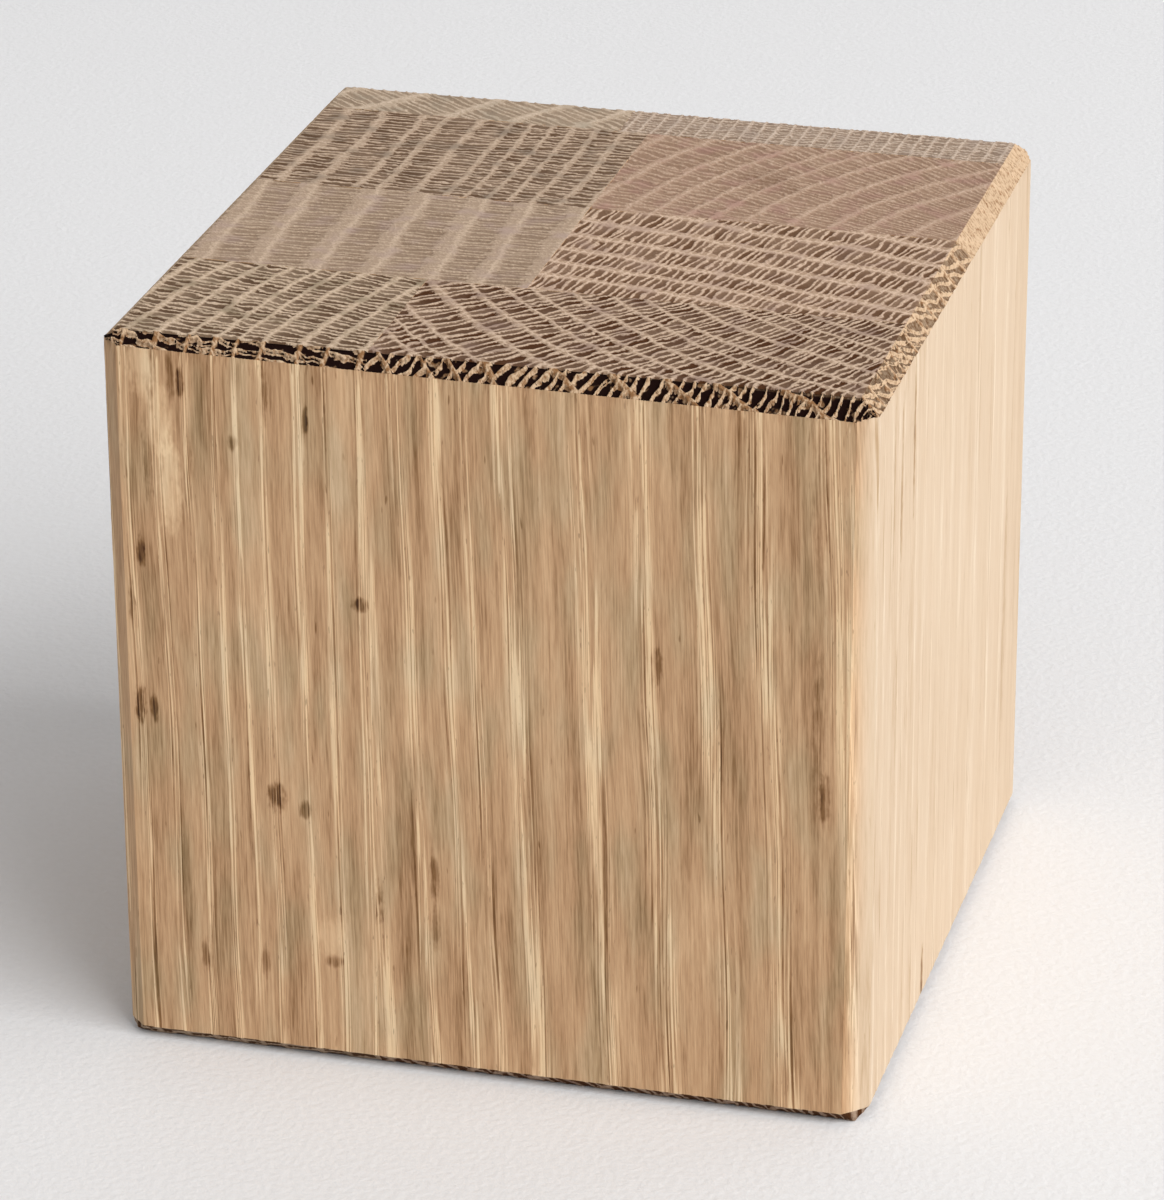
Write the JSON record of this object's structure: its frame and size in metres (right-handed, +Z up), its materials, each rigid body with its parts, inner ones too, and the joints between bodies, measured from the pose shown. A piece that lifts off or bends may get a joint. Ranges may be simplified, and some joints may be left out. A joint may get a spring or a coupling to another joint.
{
  "type": "wooden cube",
  "caption": "Solid oak cube, edge-glued from upright staves, with end grain on the top and base and a small chamfer along its edges.",
  "frame": {"origin": "middle of the cube's base, on the surface that it stands on", "axes": "+Z up, along the grain of every stave; +X to the right and +Y to the back, seen from the front"},
  "size_m": [0.08, 0.08, 0.08],
  "materials": {
    "oak_front_left": "bare sanded oak, tan",
    "oak_front_right": "bare sanded oak, warm tan",
    "oak_second_left": "bare sanded oak, pale tan",
    "oak_second_right": "bare sanded oak, tan",
    "oak_third_left": "bare sanded oak, grey tan",
    "oak_third_right": "bare sanded oak, pinkish",
    "oak_back_left": "bare sanded oak, greenish tan",
    "oak_back_right": "bare sanded oak, grey tan"
  },
  "bodies": {
    "root": {"front_left_stave": "oak_front_left", "front_right_stave": "oak_front_right", "second_left_stave": "oak_second_left", "second_right_stave": "oak_second_right", "third_left_stave": "oak_third_left", "third_right_stave": "oak_third_right", "back_left_stave": "oak_back_left", "back_right_stave": "oak_back_right"}
  },
  "joints": []
}
